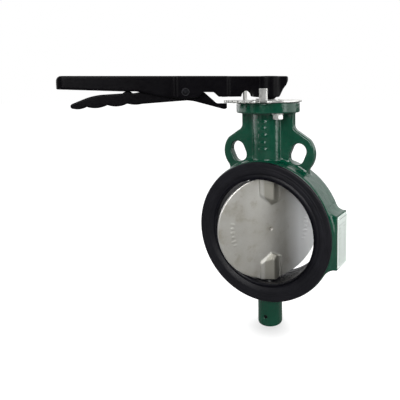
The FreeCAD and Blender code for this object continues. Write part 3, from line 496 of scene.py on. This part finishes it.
def trigger_side():
    """Outline of the squeeze lever seen from the side, in (along, z)."""
    outline = [(59.7, 182.5), (59.7, 176.0)]
    outline += arc_through((59.7, 176.0), (62.0, 174.6), (66.0, 174.9), 6)
    outline += [(104.0, 185.8), (113.4, 187.2), (171.0, 183.6)]
    bumps = [((171.0, 183.6), (180.5, 182.7), (189.5, 184.2)),
             ((189.5, 184.2), (204.5, 180.9), (213.5, 182.9)),
             ((213.5, 182.9), (228.0, 179.2), (238.0, 181.2)),
             ((238.0, 181.2), (247.0, 178.2), (252.6, 178.9)),
             ((252.6, 178.9), (256.2, 181.9), (254.2, 185.2))]
    for bump in bumps:
        outline += arc_through(*bump, 8)[1:]
    outline += [(238.0, 191.9)]
    outline += arc_through((238.0, 191.9), (226.0, 195.2), (216.0, 196.3), 8)[1:]
    outline += [(194.5, 197.5)]
    outline += arc_through((194.5, 197.5), (188.5, 200.4), (182.5, 197.5), 8)[1:]
    outline += [(170.5, 199.3), (158.0, 199.3), (153.0, 196.6), (138.0, 196.6), (128.0, 204.0)]
    outline += arc_through((128.0, 204.0), (116.0, 208.0), (104.0, 204.0), 10)[1:]
    outline += [(90.3, 197.2), (75.5, 183.8), (73.0, 182.5)]
    return outline


def make_trigger():
    """Squeeze lever with its pivot hub, finger bumps and the tooth that enters a notch."""
    step = 0.7
    (x, y, z), low = grid((59.0, -10.5, 174.0), (257.0, 10.5, 208.5), step)
    trigger = meet(outline_distance(trigger_side(), x, z), np.abs(y) - 7.0, 1.6)
    narrow = np.maximum(x - 66.0, 3.0 - np.abs(y))
    trigger = carve(trigger, narrow, 0.5)
    pivot = np.sqrt((x - PIVOT_REACH) ** 2 + (z - PIVOT_HEIGHT) ** 2)
    trigger = join(trigger, meet(pivot - 7.0, np.abs(y) - 10.2, 0.6), 1.5)
    trigger = carve(trigger, pivot - PIVOT_BORE, 0.3)
    return cast_piece("trigger_casting", trigger, low, step, HANDLE_ANGLE)


# ---------------------------------------------------------------- throttle plate and fasteners

OPEN_STOP = (10.6, 22.0, -54.0, -51.0)
CLOSED_STOP = (10.6, 20.0, -46.0, -43.0)
BOLT_END = 159.8


def make_throttle_plate():
    """Notched sheet with two stops bent up from it."""
    step = 0.5
    (x, y, z), low = grid((-63.5, -63.5, 183.0), (48.5, 48.5, PLATE_HIGH[2]), step)
    bottom, top = FLANGE_TOP, FLANGE_TOP + 3.0
    reach = np.sqrt(x * x + y * y)
    turn = np.degrees(np.arctan2(y, x)) % 360.0
    middle, spread = 231.5, 65.5
    beyond = (np.abs(turn - middle) - spread) * math.pi / 180.0 * reach
    outline = join(reach - 48.0, np.maximum(reach - 63.0, beyond), 3.0)
    for i in range(10):
        angle = math.pi + math.radians(10.0 * i)
        along = x * math.cos(angle) + y * math.sin(angle)
        across = -x * math.sin(angle) + y * math.cos(angle)
        outline = carve(outline, meet(57.8 - along, np.abs(across) - 3.4, 0.8), 0.4)
    outline = carve(outline, reach - 15.0, 0.0)
    for hole in flange_holes(x, y):
        outline = carve(outline, hole, 0.0)
    stops = ((x, y, OPEN_STOP), (y, x, CLOSED_STOP))
    for across, out, (left, right, outer, inner) in stops:
        relief = np.maximum(between(across, left - 1.4, right + 1.4), out - inner)
        outline = carve(outline, relief, 0.3)
    plate = meet(outline, between(z, bottom, top), 0.35)
    for across, out, (left, right, outer, inner) in stops:
        upright = between(out, outer, inner)
        foot = np.maximum(between(z, bottom, top), between(out, outer, inner + 6.0))
        bend = join(upright, foot, 2.0)
        bend = meet(bend, meet(outer - out, bottom - z, 4.4), 0.0)
        bend = meet(bend, between(z, bottom, PLATE_HIGH[2]), 0.5)
        bend = meet(bend, between(across, left, right), 0.5)
        bend = np.maximum(bend, out - inner - 6.0)
        plate = join(plate, bend, 0.0)
    return cast_piece("notched_plate", plate, low, step)


def hexagon_field(x, y, half_flat):
    """Distance to a hexagon, from its centre to a flat."""
    c, s = math.cos(math.pi / 3), math.sin(math.pi / 3)
    flats = np.maximum(np.abs(y), np.maximum(np.abs(y * c + x * s), np.abs(y * c - x * s)))
    return flats - half_flat


def thread_field(x, y, z, radius, pitch):
    """A screw thread: the radius falls and rises once a pitch, along a helix."""
    angle = np.arctan2(y, x)
    wave = np.cos(math.tau * z / pitch - angle)
    return np.sqrt(x * x + y * y) - (radius - 0.3 + 0.3 * wave)


def fastener_spots():
    """Places of the two bolts that hold the throttle plate."""
    return [(FLANGE_PITCH * math.cos(math.radians(a)), FLANGE_PITCH * math.sin(math.radians(a)))
            for a in BOLT_ANGLES]


def copies(name, field, low, step, spots):
    """One mesh of the same piece at several places."""
    verts, quads = surface_nets(field, low, step)
    all_verts, all_quads = [], []
    for i, (sx, sy) in enumerate(spots):
        all_verts.append(verts + np.array([sx, sy, 0.0]))
        all_quads.append(quads + i * len(verts))
    return add_mesh(name, np.concatenate(all_verts), np.concatenate(all_quads))


def make_plate_bolts():
    """Two bolts with thin round heads and a hexagon key recess."""
    step = 0.25
    top = FLANGE_TOP + 3.0
    (x, y, z), low = grid((-6.5, -6.5, BOLT_END), (6.5, 6.5, top + 1.5), step)
    head = meet(np.sqrt(x * x + y * y) - 6.5, between(z, top, top + 1.5), 0.5)
    head = carve(head, np.maximum(hexagon_field(x, y, 2.0), top + 0.3 - z), 0.1)
    shank = meet(thread_field(x, y, z, 4.0, 1.25), between(z, BOLT_END, top + 1.0), 0.6)
    return copies("plate_bolt_pair", np.minimum(head, shank), low, step, fastener_spots())


def make_plate_nuts():
    """Two chamfered hexagon nuts under the flange."""
    step = 0.25
    low_z, high_z = 160.3, 166.8
    (x, y, z), low = grid((-7.6, -7.6, low_z), (7.6, 7.6, high_z), step)
    reach = np.sqrt(x * x + y * y)
    nut = meet(hexagon_field(x, y, 6.5), between(z, low_z, high_z), 0.25)
    for end in (low_z - z, z - high_z):
        nut = meet(nut, (reach - 6.4 + end * 1.7) * 0.5, 0.2)
    nut = carve(nut, reach - 4.05, 0.3)
    return copies("plate_nut_pair", nut, low, step, fastener_spots())


def make_plate_washers():
    """Two plain washers between the nuts and the flange."""
    step = 0.3
    low_z, high_z = 166.9, 168.48
    (x, y, z), low = grid((-8.0, -8.0, low_z), (8.0, 8.0, high_z), step)
    reach = np.sqrt(x * x + y * y)
    washer = meet(reach - 8.0, between(z, low_z, high_z), 0.3)
    washer = carve(washer, reach - 4.2, 0.2)
    return copies("plate_washer_pair", washer, low, step, fastener_spots())


def make_handle_screw():
    """Socket head cap screw in the handle's counterbore."""
    step = 0.25
    low_z, seat, high_z = 196.0, 210.82, 215.8
    (x, y, z), low = grid((-7.0, -7.0, low_z), (7.0, 7.0, high_z), step)
    reach = np.sqrt(x * x + y * y)
    head = meet(reach - 7.0, between(z, seat, high_z), 0.8)
    head = carve(head, np.maximum(hexagon_field(x, y, 2.5), 213.0 - z), 0.3)
    shank = meet(thread_field(x, y, z, 3.95, 1.25), between(z, low_z, 211.5), 0.4)
    return cast_piece("handle_cap_screw", np.minimum(head, shank), low, step, HANDLE_ANGLE)


def make_trigger_pin():
    """Round pin with a domed head on one cheek and a peened end on the other."""
    step = 0.3
    reach = 17.0
    (x, y, z), low = grid((PIVOT_REACH - 5.0, -reach, PIVOT_HEIGHT - 5.0),
                          (PIVOT_REACH + 5.0, reach, PIVOT_HEIGHT + 5.0), step)
    axis = np.sqrt((x - PIVOT_REACH) ** 2 + (z - PIVOT_HEIGHT) ** 2)
    pin = meet(axis - 3.0, between(y, -15.5, 16.3), 0.8)
    head = meet(axis - 4.4, between(y, 14.1, 15.2), 0.5)
    return cast_piece("trigger_pivot_pin", join(pin, head, 0.5), low, step, HANDLE_ANGLE)


# ---------------------------------------------------------------- nameplate

def on_pad(verts):
    """Moves points from the pad's own frame, face at x = 0, to the tilted pad."""
    return turned(np.asarray(verts, float), -PAD_TILT) + np.array([PAD_REACH, 0.0, 0.0])


def make_nameplate():
    """Thin plate with rounded corners and a raised rim, for the pad's own frame."""
    step = 0.35
    middle = (PAD_LOW + PAD_HIGH) / 2
    half_y, half_z = 17.0, (PAD_HIGH - PAD_LOW) / 2 - 1.5
    (x, y, z), low = grid((0.0, -half_y, middle - half_z), (1.0, half_y, middle + half_z), step)
    dy, dz = np.abs(y) - half_y + 2.5, np.abs(z - middle) - half_z + 2.5
    outline = (np.sqrt(np.maximum(dy, 0) ** 2 + np.maximum(dz, 0) ** 2)
               + np.minimum(np.maximum(dy, dz), 0) - 2.5)
    plate = meet(outline, between(x, 0.05, 1.0), 0.3)
    plate = carve(plate, meet(outline + 1.6, 0.75 - x, 0.1), 0.1)
    verts, quads = surface_nets(plate, low, step)
    return add_mesh("maker_plate", on_pad(verts), quads)


def make_nameplate_rules():
    """Plain printed rules and boxes on the nameplate, with no lettering."""
    front = 0.75
    bars = [(-12.5, 12.5, 26.5, 27.1), (-12.5, 12.5, 18.4, 18.9), (-12.5, 12.5, -35.6, -35.1)]
    for row in range(7):
        height = 13.5 - 7.0 * row
        bars.append((-12.5, -4.0 + 2.0 * (row % 3), height, height + 0.9))
        bars.append((3.5 + 1.5 * (row % 2), 12.5, height, height + 0.9))
        bars.append((-12.5, 12.5, height - 3.2, height - 2.9))
    verts, faces = [], []
    for y0, y1, z0, z1 in bars:
        base = len(verts)
        for x in (front - 0.1, front + 0.05):
            verts += [(x, y0, z0), (x, y1, z0), (x, y1, z1), (x, y0, z1)]
        for quad in ((4, 5, 6, 7), (3, 2, 1, 0), (0, 1, 5, 4), (1, 2, 6, 5), (2, 3, 7, 6),
                     (3, 0, 4, 7)):
            faces.append([base + q for q in quad])
    return add_mesh("nameplate_rules", on_pad(verts), faces, smooth=False)


# ---------------------------------------------------------------- materials

class Finish:
    """A small builder for one procedural material."""

    def __init__(self, name, color, metallic=0.0, roughness=0.5, specular=0.5):
        self.material = bpy.data.materials.new(name)
        self.material.use_nodes = True
        self.tree = self.material.node_tree
        self.shader = self.tree.nodes["Principled BSDF"]
        self.shader.inputs["Base Color"].default_value = (*color, 1.0)
        self.shader.inputs["Metallic"].default_value = metallic
        self.shader.inputs["Roughness"].default_value = roughness
        self.shader.inputs["Specular IOR Level"].default_value = specular
        self.place = self.tree.nodes.new("ShaderNodeTexCoord").outputs["Object"]
        self.height = None

    def node(self, kind, **inputs):
        node = self.tree.nodes.new(kind)
        for name, value in inputs.items():
            self.feed(node.inputs[name.replace("_", " ")], value)
        return node

    def feed(self, socket, value):
        if isinstance(value, bpy.types.NodeSocket):
            self.tree.links.new(value, socket)
        else:
            socket.default_value = value

    def noise(self, scale, detail=3.0, roughness=0.55, stretch=None):
        """Noise in the object's own coordinates; scale is in cycles per metre."""
        place = self.place
        if stretch:
            mapping = self.tree.nodes.new("ShaderNodeMapping")
            self.tree.links.new(place, mapping.inputs["Vector"])
            mapping.inputs["Scale"].default_value = stretch
            place = mapping.outputs["Vector"]
        node = self.node("ShaderNodeTexNoise", Vector=place, Scale=scale, Detail=detail,
                         Roughness=roughness)
        return node.outputs["Fac"]

    def ramp(self, value, low, high, out_low=0.0, out_high=1.0):
        node = self.node("ShaderNodeMapRange", Value=value)
        node.inputs["From Min"].default_value = low
        node.inputs["From Max"].default_value = high
        node.inputs["To Min"].default_value = out_low
        node.inputs["To Max"].default_value = out_high
        return node.outputs["Result"]

    def math(self, operation, a, b=0.0):
        node = self.tree.nodes.new("ShaderNodeMath")
        node.operation = operation
        self.feed(node.inputs[0], a)
        self.feed(node.inputs[1], b)
        return node.outputs[0]

    def mix(self, factor, a, b):
        """A colour between two colours."""
        node = self.tree.nodes.new("ShaderNodeMix")
        node.data_type = "RGBA"
        self.feed(node.inputs["Factor"], factor)
        for socket, value in ((node.inputs[6], a), (node.inputs[7], b)):
            self.feed(socket, value if isinstance(value, bpy.types.NodeSocket) else (*value, 1.0))
        return node.outputs[2]

    def color(self, value):
        self.feed(self.shader.inputs["Base Color"], value)

    def rough(self, value):
        self.feed(self.shader.inputs["Roughness"], value)

    def bump(self, height, distance, strength=1.0):
        """Adds relief; distance is its depth in metres."""
        node = self.node("ShaderNodeBump", Height=height, Distance=distance, Strength=strength)
        if self.height is not None:
            self.tree.links.new(self.height, node.inputs["Normal"])
        self.height = node.outputs["Normal"]
        self.tree.links.new(self.height, self.shader.inputs["Normal"])


def green_epoxy():
    """Thick sprayed epoxy over a sand casting: pooled colour, soft waves, fine orange peel."""
    finish = Finish("green_epoxy_paint", (0.003, 0.07, 0.036), roughness=0.16, specular=0.5)
    tone = finish.ramp(finish.noise(22.0, 4.0), 0.3, 0.7)
    finish.color(finish.mix(tone, (0.0006, 0.041, 0.0215), (0.0015, 0.064, 0.034)))
    finish.rough(finish.ramp(finish.noise(160.0, 3.0), 0.3, 0.7, 0.12, 0.24))
    finish.bump(finish.noise(85.0, 2.0), 0.0011, 0.5)
    finish.bump(finish.noise(330.0, 2.0), 0.00018, 0.35)
    return finish.material


def black_rubber():
    """Moulded rubber: fine mould texture, faint turning rings, bloom in patches."""
    finish = Finish("black_seat_rubber", (0.012, 0.012, 0.014), roughness=0.5, specular=0.2)
    bloom = finish.ramp(finish.noise(30.0, 5.0), 0.42, 0.72)
    finish.color(finish.mix(bloom, (0.0055, 0.0055, 0.008), (0.010, 0.010, 0.0135)))
    radial = finish.node("ShaderNodeVectorMath", Vector=finish.place)
    radial.operation = "MULTIPLY"
    radial.inputs[1].default_value = (1.0, 0.0, 1.0)
    reach = finish.node("ShaderNodeVectorMath", Vector=radial.outputs["Vector"])
    reach.operation = "LENGTH"
    polished = finish.ramp(reach.outputs["Value"], 0.0768, 0.0785, -0.12, 0.0)
    grain = finish.ramp(finish.noise(180.0, 3.0), 0.3, 0.7, 0.34, 0.5)
    finish.rough(finish.math("ADD", grain, polished))
    finish.bump(finish.noise(1500.0, 2.0), 0.00003, 0.25)
    finish.bump(finish.noise(60.0, 2.0), 0.0002, 0.15)
    return finish.material


def cast_stainless():
    """Blasted stainless casting: fine grain, cloudy stains, a brighter turned rim, painted light
    over the right half and painted shade on the hubs.
    """
    finish = Finish("cast_stainless_disc", (0.5, 0.49, 0.45), metallic=0.9, roughness=0.5)
    cloud = finish.ramp(finish.noise(26.0, 6.0, 0.6), 0.35, 0.7)
    base = finish.mix(cloud, (0.57, 0.565, 0.53), (0.48, 0.465, 0.42))
    stain = finish.ramp(finish.noise(48.0, 5.0, 0.65), 0.54, 0.68)
    base = finish.mix(stain, base, (0.43, 0.405, 0.35))
    # Painted light: beyond about 22 to 46 mm right of the stem the face is lightened almost to
    # white, standing in for light falling on the disc's right side.
    along = finish.node("ShaderNodeVectorMath", Vector=finish.place)
    along.operation = "DOT_PRODUCT"
    along.inputs[1].default_value = (math.cos(OPEN_ANGLE), math.sin(OPEN_ANGLE), 0.0)
    painted_light_right_half = finish.ramp(along.outputs["Value"], 0.022, 0.046)
    base = finish.mix(painted_light_right_half, base, (0.93, 0.94, 0.94))
    # Painted shade, with a warm tint of the metal: the raised hubs and collars, more than about
    # 9.7 mm from the disc's middle plane, are given a darker colour.
    across = finish.node("ShaderNodeVectorMath", Vector=finish.place)
    across.operation = "DOT_PRODUCT"
    across.inputs[1].default_value = (-math.sin(OPEN_ANGLE), math.cos(OPEN_ANGLE), 0.0)
    proud = finish.math("ABSOLUTE", across.outputs["Value"])
    base = finish.mix(finish.ramp(proud, 0.0089, 0.0097), base, (0.34, 0.33, 0.29))
    reach = finish.node("ShaderNodeVectorMath", Vector=finish.place)
    reach.operation = "LENGTH"
    rim = finish.ramp(reach.outputs["Value"], 0.0757, 0.0760)
    finish.color(finish.mix(rim, base, (0.72, 0.71, 0.68)))
    grain = finish.ramp(finish.noise(700.0, 4.0), 0.3, 0.7, 0.5, 0.64)
    turned_rim = finish.math("MULTIPLY", rim, -0.2)
    finish.rough(finish.math("ADD", grain, turned_rim))
    finish.bump(finish.noise(1400.0, 3.0, 0.7), 0.00012, 0.45)
    finish.bump(finish.noise(130.0, 3.0), 0.0006, 0.35)
    return finish.material


def plated_steel(name, color, roughness, stain=0.15):
    """Bright plated steel with fine scratches and cloudy plating."""
    finish = Finish(name, color, metallic=1.0, roughness=roughness)
    cloud = finish.ramp(finish.noise(90.0, 4.0), 0.35, 0.7)
    darker = tuple(c * (1.0 - stain) for c in color)
    finish.color(finish.mix(cloud, color, darker))
    scratch = finish.noise(400.0, 3.0, 0.6, (1.0, 6.0, 1.0))
    finish.rough(finish.ramp(scratch, 0.3, 0.7, roughness * 0.75, roughness * 1.3))
    finish.bump(scratch, 0.00005, 0.4)
    return finish.material


def black_coating():
    """Satin black powder coat over a casting, with a fine leathery grain."""
    finish = Finish("black_powder_coat", (0.003, 0.0028, 0.0035), roughness=0.34, specular=0.06)
    rubbed = finish.ramp(finish.noise(35.0, 4.0), 0.4, 0.75)
    finish.color(finish.mix(rubbed, (0.0015, 0.0012, 0.002), (0.0033, 0.003, 0.004)))
    finish.rough(finish.ramp(finish.noise(220.0, 3.0), 0.3, 0.7, 0.28, 0.42))
    finish.bump(finish.noise(1100.0, 2.0), 0.00006, 0.4)
    finish.bump(finish.noise(120.0, 3.0), 0.0003, 0.25)
    return finish.material


def plastic(name, color, roughness):
    """Plain dull plastic or small rubber part with a little grain."""
    finish = Finish(name, color, roughness=roughness)
    cloud = finish.ramp(finish.noise(150.0, 3.0), 0.3, 0.7)
    finish.color(finish.mix(cloud, color, tuple(c * 0.85 for c in color)))
    finish.rough(finish.ramp(cloud, 0.0, 1.0, roughness * 0.85, roughness * 1.1))
    finish.bump(finish.noise(900.0, 2.0), 0.00005, 0.4)
    return finish.material


def nameplate_metal():
    """Satin aluminium sheet, brushed lengthways."""
    finish = Finish("nameplate_aluminium", (0.82, 0.88, 0.84), metallic=0.2, roughness=0.5)
    brush = finish.noise(500.0, 4.0, 0.6, (1.0, 1.0, 0.04))
    finish.color(finish.mix(finish.ramp(brush, 0.3, 0.7), (0.84, 0.9, 0.86), (0.74, 0.82, 0.77)))
    finish.rough(finish.ramp(brush, 0.3, 0.7, 0.42, 0.58))
    finish.bump(brush, 0.00004, 0.5)
    return finish.material


MATERIALS = {
    "green_epoxy": green_epoxy(),
    "black_rubber": black_rubber(),
    "seal_rubber": plastic("seal_rubber_ring", (0.02, 0.02, 0.02), 0.5),
    "cast_stainless": cast_stainless(),
    "stainless": plated_steel("ground_stainless", (0.6, 0.6, 0.58), 0.28),
    "zinc_steel": plated_steel("zinc_plate", (0.66, 0.66, 0.64), 0.36),
    "spring_steel": plated_steel("phosphated_spring_steel", (0.04, 0.04, 0.043), 0.5),
    "blackened_steel": plated_steel("black_oxide", (0.015, 0.015, 0.017), 0.55),
    "aluminium_plate": nameplate_metal(),
    "bearing_plastic": plastic("bearing_ptfe", (0.75, 0.74, 0.7), 0.45),
    "black_coated_iron": black_coating(),
}
NODE_SLOT = {s["node"]: s["material_slot"] for s in frame["record"]["subparts"]}


# ---------------------------------------------------------------- assembly

def replace_node(piece, node):
    """A piece takes over a CAD node: its body and the finish of its slot."""
    body = next(b for b, nodes in frame["record"]["behaviour"]["bodies"].items() if node in nodes)
    slot_name = NODE_SLOT[node]
    return finish_piece(piece, body, slot_name, MATERIALS[slot_name], node)


for node_name, node_object in frame["nodes"].items():
    node_object.data.materials.clear()
    node_object.data.materials.append(MATERIALS[NODE_SLOT[node_name]])

MAKERS = {
    "valve_body": make_valve_body,
    "seat_liner": make_seat_liner,
    "disc": make_disc,
    "handle": make_handle,
    "trigger": make_trigger,
    "throttle_plate": make_throttle_plate,
    "plate_bolts": make_plate_bolts,
    "plate_nuts": make_plate_nuts,
    "plate_washers": make_plate_washers,
    "handle_screw": make_handle_screw,
    "trigger_pin": make_trigger_pin,
    "nameplate": make_nameplate,
}
for node_name, maker in MAKERS.items():
    replace_node(maker(), node_name)

ink = plastic("printed_ink", (0.16, 0.2, 0.18), 0.55)
finish_piece(make_nameplate_rules(), "valve", "aluminium_plate", ink)


# ---------------------------------------------------------------- studio

# Name, azimuth and elevation in degrees, distance and size in metres, power in watts.
LIGHTS = (
    ("key", -54.0, 32.0, 1.6, (0.9, 0.9), 2.0),
    ("front", -80.0, 25.0, 1.6, (0.9, 0.9), 19.0),
    ("right_panel", 27.0, 14.0, 1.4, (1.2, 1.2), 7.5),
    ("right_edge", -5.0, 14.0, 1.4, (0.4, 1.2), 6.0),
    ("left_panel", 176.0, 16.0, 1.5, (2.0, 1.1), 9.0),
    ("left_fill", -125.0, 15.0, 1.6, (0.35, 1.0), 0.8),
    ("top_panel", 90.0, 80.0, 1.5, (1.2, 1.2), 5.0),
)


def area_light(name, azimuth, elevation, distance, size, power, aim=(0.0, 0.0, 0.05)):
    """A soft rectangular light that faces the valve. Azimuth is measured from +X."""
    light = bpy.data.lights.new(name, "AREA")
    light.shape = "RECTANGLE"
    light.size, light.size_y = size
    light.energy = power
    lamp = bpy.data.objects.new(name, light)
    a, e = math.radians(azimuth), math.radians(elevation)
    out = np.array([math.cos(a) * math.cos(e), math.sin(a) * math.cos(e), math.sin(e)])
    aim = np.array(aim)
    lamp.location = aim + out * distance
    lamp.rotation_euler = Vector(-out).to_track_quat("-Z", "Y").to_euler()
    bpy.context.scene.collection.objects.link(lamp)


def floor_pool():
    """A spot that brightens the floor in front and to the right, where the disc mirrors it."""
    light = bpy.data.lights.new("floor_pool", "SPOT")
    light.spot_size = math.radians(46.0)
    light.spot_blend = 1.0
    light.shadow_soft_size = 0.1
    light.energy = 15.0
    lamp = bpy.data.objects.new("floor_pool", light)
    lamp.location = (0.42, -0.27, 0.6)
    bpy.context.scene.collection.objects.link(lamp)


def studio():
    """A world that the camera sees as white and the valve as a dim glow, with the lights."""
    scene = bpy.context.scene
    world = bpy.data.worlds.new("studio")
    world.use_nodes = True
    scene.world = world
    tree = world.node_tree
    background = tree.nodes["Background"]
    seen = tree.nodes.new("ShaderNodeLightPath")
    soft = tree.nodes.new("ShaderNodeBackground")
    coordinates = tree.nodes.new("ShaderNodeTexCoord")
    facing = tree.nodes.new("ShaderNodeVectorMath")
    facing.operation = "DOT_PRODUCT"
    facing.inputs[1].default_value = (-0.4, 0.9, 0.15)
    tree.links.new(coordinates.outputs["Generated"], facing.inputs[0])
    glow = tree.nodes.new("ShaderNodeMapRange")
    glow.inputs["From Min"].default_value = 0.0
    glow.inputs["From Max"].default_value = 0.85
    glow.inputs["To Min"].default_value = 0.02
    glow.inputs["To Max"].default_value = 1.2
    tree.links.new(facing.outputs["Value"], glow.inputs["Value"])
    tree.links.new(glow.outputs["Result"], soft.inputs["Strength"])
    mix = tree.nodes.new("ShaderNodeMixShader")
    tree.links.new(seen.outputs["Is Camera Ray"], mix.inputs["Fac"])
    tree.links.new(soft.outputs["Background"], mix.inputs[1])
    background.inputs["Strength"].default_value = 1.0
    background.inputs["Color"].default_value = (1, 1, 1, 1)
    soft.inputs["Color"].default_value = (1, 1, 1, 1)
    tree.links.new(background.outputs["Background"], mix.inputs[2])
    tree.links.new(mix.outputs["Shader"], tree.nodes["World Output"].inputs["Surface"])
    for name, *setting in LIGHTS:
        area_light(name, *setting)
    floor_pool()


def pale_floor():
    """The floor that the boss stands on, so pale that only a shadow shows round the boss: real
    contact shadow, deepened by painted shade where the glow is turned down.
    """
    size = 12.0
    height = BODY_LOW[2] * MM
    mesh = bpy.data.meshes.new("floor")
    mesh.from_pydata([(-size, -size, height), (size, -size, height), (size, size, height),
                      (-size, size, height)], [], [(0, 1, 2, 3)])
    floor = bpy.data.objects.new("floor", mesh)
    bpy.context.scene.collection.objects.link(floor)
    finish = Finish("pale_floor", (0.3, 0.3, 0.3), roughness=0.9, specular=0.0)
    finish.shader.inputs["Emission Color"].default_value = (1, 1, 1, 1)
    seen = finish.tree.nodes.new("ShaderNodeLightPath").outputs["Is Camera Ray"]
    reach = finish.node("ShaderNodeVectorMath", Vector=finish.place)
    reach.operation = "LENGTH"
    # Painted shade: to the camera the floor's glow drops from 1.0 to 0.6 within about 56 mm of
    # the boss, darkening the floor there together with the real contact shadow.
    glow = finish.ramp(reach.outputs["Value"], 0.152, 0.16, 0.6, 1.0)
    finish.feed(finish.shader.inputs["Emission Strength"], finish.math("MULTIPLY", seen, glow))
    mesh.materials.append(finish.material)


def camera():
    """The photograph's viewpoint: to the right of the pipe's axis, a little above the disc."""
    yaw, pitch, roll = math.radians(23.66), math.radians(-5.715), math.radians(-0.58)
    data = bpy.data.cameras.new("photo_camera")
    data.sensor_width = 36.0
    data.lens = 36.63
    data.shift_x = -0.171
    data.shift_y = -0.172
    data.clip_start = 0.01
    data.clip_end = 100.0
    lens = bpy.data.objects.new("photo_camera", data)
    lens.location = (0.2330, -0.5318, 0.1993)
    turn = Matrix.Rotation(yaw, 3, "Z")
    tilt = Matrix.Rotation(math.pi / 2 + pitch, 3, "X")
    lean = Matrix.Rotation(roll, 3, "Z")
    lens.rotation_euler = (turn @ tilt @ lean).to_euler()
    bpy.context.scene.collection.objects.link(lens)
    bpy.context.scene.camera = lens


studio()
pale_floor()
camera()
bpy.context.scene.view_settings.view_transform = "Standard"

bpy.context.view_layer.update()
